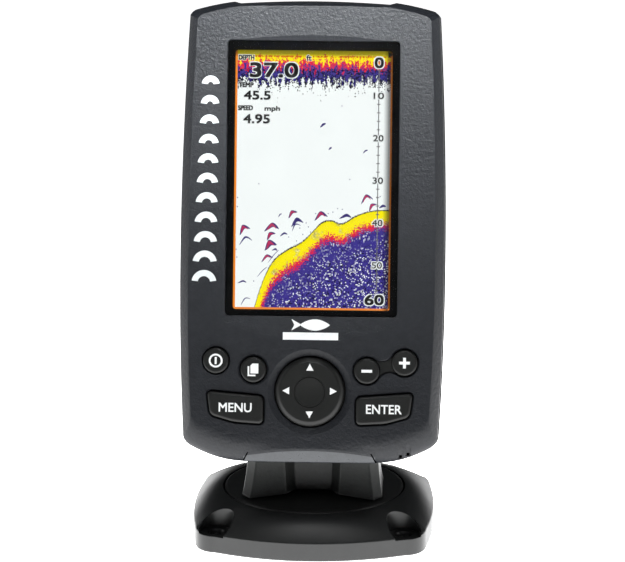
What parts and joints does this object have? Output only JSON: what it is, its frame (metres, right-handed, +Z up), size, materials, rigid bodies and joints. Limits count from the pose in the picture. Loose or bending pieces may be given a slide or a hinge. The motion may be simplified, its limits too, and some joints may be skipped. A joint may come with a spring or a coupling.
{
  "type": "fish finder",
  "caption": "Upright sonar display with screen, push keys and a rocking arrow pad, on a bracket that swivels and tilts.",
  "frame": {"origin": "on the swivel axis at the underside of the foot, which stands on the mounting surface", "axes": "+Z up, -Y towards the user, so that the screen faces -Y and up, +X to the user's right"},
  "size_m": [0.0946, 0.088, 0.193],
  "materials": {
    "foot_plastic": "satin moulded",
    "bearing_nylon": "smooth",
    "disc_plastic": "satin moulded",
    "retainer_steel": "stamped",
    "screw_steel": "plated",
    "yoke_plastic": "satin moulded",
    "hinge_steel": "ground",
    "ratchet_acetal": "smooth",
    "button_plastic": "fine texture",
    "spring_steel": "drawn wire",
    "case_plastic": "fine leathery moulded grain",
    "back_plastic": "fine moulded grain",
    "gasket_rubber": "matte",
    "socket_plastic": "satin moulded",
    "insert_plastic": "satin moulded",
    "pin_brass": "polished",
    "window_acrylic": "clear, gloss",
    "mask_black": "gloss printed black",
    "seal_foam": "foam",
    "lcd_glass": "smooth",
    "tray_steel": "plated",
    "chassis_plastic": "moulded",
    "board_laminate": "solder mask",
    "sounder_plastic": "moulded",
    "key_rubber": "satin"
  },
  "bodies": {
    "mounting_foot": {"base_foot": "foot_plastic", "swivel_bearing_washer": "bearing_nylon"},
    "swivel_yoke": {"turntable_disc": "disc_plastic", "yoke": "yoke_plastic", "swivel_retainer_ring": "retainer_steel", "retainer_screw_1": "screw_steel", "retainer_screw_2": "screw_steel", "retainer_screw_3": "screw_steel", "yoke_screw_1": "screw_steel", "yoke_screw_2": "screw_steel", "tilt_shaft": "hinge_steel", "tilt_nut": "hinge_steel", "tilt_spring_washer": "hinge_steel", "tilt_ratchet_left": "ratchet_acetal", "tilt_ratchet_right": "ratchet_acetal"},
    "display": {"quick_release_shoe": "yoke_plastic", "front_bezel": "case_plastic", "window_lens": "window_acrylic", "window_mask": "mask_black", "window_seal": "seal_foam", "lcd_panel": "lcd_glass", "lcd_backlight": "tray_steel", "inner_chassis": "chassis_plastic", "main_board": "board_laminate", "keypad_board": "board_laminate", "key_sounder": "sounder_plastic", "keypad_membrane": "key_rubber", "shell_gasket": "gasket_rubber", "back_shell": "back_plastic", "case_screw_left_low": "screw_steel", "case_screw_left_middle": "screw_steel", "case_screw_left_high": "screw_steel", "case_screw_right_low": "screw_steel", "case_screw_right_middle": "screw_steel", "case_screw_right_high": "screw_steel", "socket_collar": "socket_plastic", "socket_insert": "insert_plastic", "socket_pin_1": "pin_brass", "socket_pin_2": "pin_brass", "socket_pin_3": "pin_brass", "socket_pin_4": "pin_brass", "socket_pin_5": "pin_brass", "release_spring": "spring_steel"},
    "release": {"release_button": "button_plastic"},
    "power": {"key_power": "key_rubber"},
    "pages": {"key_pages": "key_rubber"},
    "zoom_out": {"key_zoom_out": "key_rubber"},
    "zoom_in": {"key_zoom_in": "key_rubber"},
    "menu": {"key_menu": "key_rubber"},
    "enter": {"key_enter": "key_rubber"},
    "gimbal": {"arrow_gimbal": "ratchet_acetal"},
    "pad": {"arrow_pad": "key_rubber"}
  },
  "joints": [
    {"name": "swivel", "type": "hinge", "parent": "mounting_foot", "child": "swivel_yoke", "pos_m": [0, 0, 0.0094], "axis": [0, 0, 1], "range_deg": [-60, 60]},
    {"name": "tilt", "type": "hinge", "parent": "swivel_yoke", "child": "display", "pos_m": [0, -0.0038, 0.0508], "axis": [-1, 0, 0], "range_deg": [-15, 35]},
    {"name": "release_press", "type": "slide", "parent": "display", "child": "release", "axis": [0, -0.9659, 0.2588], "range_m": [0, 0.0025], "stiffness_N_per_m": 900, "springref_m": -0.001, "deforming": ["release_spring"]},
    {"name": "power_press", "type": "slide", "parent": "display", "child": "power", "axis": [0, 0.9659, -0.2588], "range_m": [0, 0.0008], "stiffness_N_per_m": 1500, "springref_m": -0.0003},
    {"name": "pages_press", "type": "slide", "parent": "display", "child": "pages", "axis": [0, 0.9659, -0.2588], "range_m": [0, 0.0008], "stiffness_N_per_m": 1500, "springref_m": -0.0003},
    {"name": "zoom_out_press", "type": "slide", "parent": "display", "child": "zoom_out", "axis": [0, 0.9659, -0.2588], "range_m": [0, 0.0008], "stiffness_N_per_m": 1500, "springref_m": -0.0003},
    {"name": "zoom_in_press", "type": "slide", "parent": "display", "child": "zoom_in", "axis": [0, 0.9659, -0.2588], "range_m": [0, 0.0008], "stiffness_N_per_m": 1500, "springref_m": -0.0003},
    {"name": "menu_press", "type": "slide", "parent": "display", "child": "menu", "axis": [0, 0.9659, -0.2588], "range_m": [0, 0.0008], "stiffness_N_per_m": 1500, "springref_m": -0.0003},
    {"name": "enter_press", "type": "slide", "parent": "display", "child": "enter", "axis": [0, 0.9659, -0.2588], "range_m": [0, 0.0008], "stiffness_N_per_m": 1500, "springref_m": -0.0003},
    {"name": "arrows_up_down", "type": "hinge", "parent": "display", "child": "gimbal", "pos_m": [0, -0.02725, 0.05833], "axis": [1, 0, 0], "range_deg": [-3, 3], "stiffness_Nm_per_rad": 0.35},
    {"name": "arrows_left_right", "type": "hinge", "parent": "gimbal", "child": "pad", "pos_m": [0, -0.02725, 0.05833], "axis": [0, 0.2588, 0.9659], "range_deg": [-3, 3], "stiffness_Nm_per_rad": 0.35}
  ]
}
